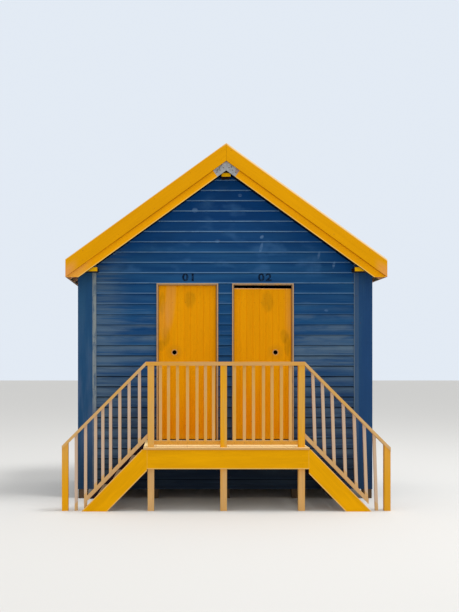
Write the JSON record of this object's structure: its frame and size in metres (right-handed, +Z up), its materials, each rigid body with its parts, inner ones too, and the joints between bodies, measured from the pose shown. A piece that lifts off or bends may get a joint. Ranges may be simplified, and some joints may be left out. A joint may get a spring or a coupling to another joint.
{
  "type": "double beach hut",
  "caption": "Raised double beach hut of lapped boards with a steep gable roof, paired inward doors, and a railed landing with stairs to both sides.",
  "frame": {"origin": "on the ground, under the middle of the hut's overall box", "axes": "+X to the right along the front, +Y from the front to the back, +Z up"},
  "size_m": [4.04, 3.093, 4.4993],
  "materials": {
    "blue_boards": "weathered dark blue paint",
    "blue_trim": "weathered blue paint",
    "yellow_trim": "weathered yellow paint",
    "orange_doors": "weathered orange-yellow paint",
    "pale_rails": "worn yellow paint over bare timber",
    "deck_timber": "worn bare timber",
    "grey_roof": "silvered bare timber",
    "raw_timber": "sawn",
    "pier_timber": "dark weathered",
    "zinc_metal": "dull galvanised"
  },
  "bodies": {
    "hut": {"apex_plate": "zinc_metal", "back_boards": "blue_boards", "barge_boards": "yellow_trim", "barge_rafters": "yellow_trim", "corner_battens": "blue_trim", "deck_boards": "deck_timber", "deck_joists": "deck_timber", "deck_ledger": "deck_timber", "door_lintels": "raw_timber", "eave_fascias": "grey_roof", "floor_bearers": "raw_timber", "floor_boards": "raw_timber", "floor_joists": "raw_timber", "front_beam": "pale_rails", "front_boards_below_doors": "blue_boards", "front_boards_between_doors": "blue_boards", "front_boards_gable": "blue_boards", "front_boards_left": "blue_boards", "front_boards_right": "blue_boards", "front_corner_boards": "blue_trim", "front_handrail": "pale_rails", "front_railing_left": "pale_rails", "front_railing_right": "pale_rails", "left_door_frame": "yellow_trim", "left_roof_boards": "grey_roof", "left_stair_railing": "pale_rails", "left_wall_boards": "blue_boards", "lining_hinges": "zinc_metal", "piers": "pier_timber", "porch_posts": "pale_rails", "rafters": "raw_timber", "ridge_cap": "grey_roof", "ridge_purlin": "yellow_trim", "right_door_frame": "yellow_trim", "right_roof_boards": "grey_roof", "right_stair_railing": "pale_rails", "right_wall_boards": "blue_boards", "side_corner_boards": "blue_trim", "sill_plates": "raw_timber", "stair_handrails": "pale_rails", "stair_newels": "pale_rails", "stair_stringers": "pale_rails", "stair_treads": "deck_timber", "wall_plates": "yellow_trim", "wall_studs": "raw_timber"},
    "left_door": {"left_door_leaf": "orange_doors", "left_door_ledges": "orange_doors", "left_door_hinges": "zinc_metal"},
    "right_door": {"right_door_leaf": "orange_doors", "right_door_ledges": "orange_doors", "right_door_hinges": "zinc_metal"}
  },
  "joints": [
    {"name": "left_door_hinge", "type": "hinge", "parent": "hut", "child": "left_door", "pos_m": [-0.1075, -0.4785, 0.759], "axis": [0, 0, -1], "range_deg": [0, 90]},
    {"name": "right_door_hinge", "type": "hinge", "parent": "hut", "child": "right_door", "pos_m": [0.1075, -0.4785, 0.759], "axis": [0, 0, 1], "range_deg": [0, 90]}
  ]
}
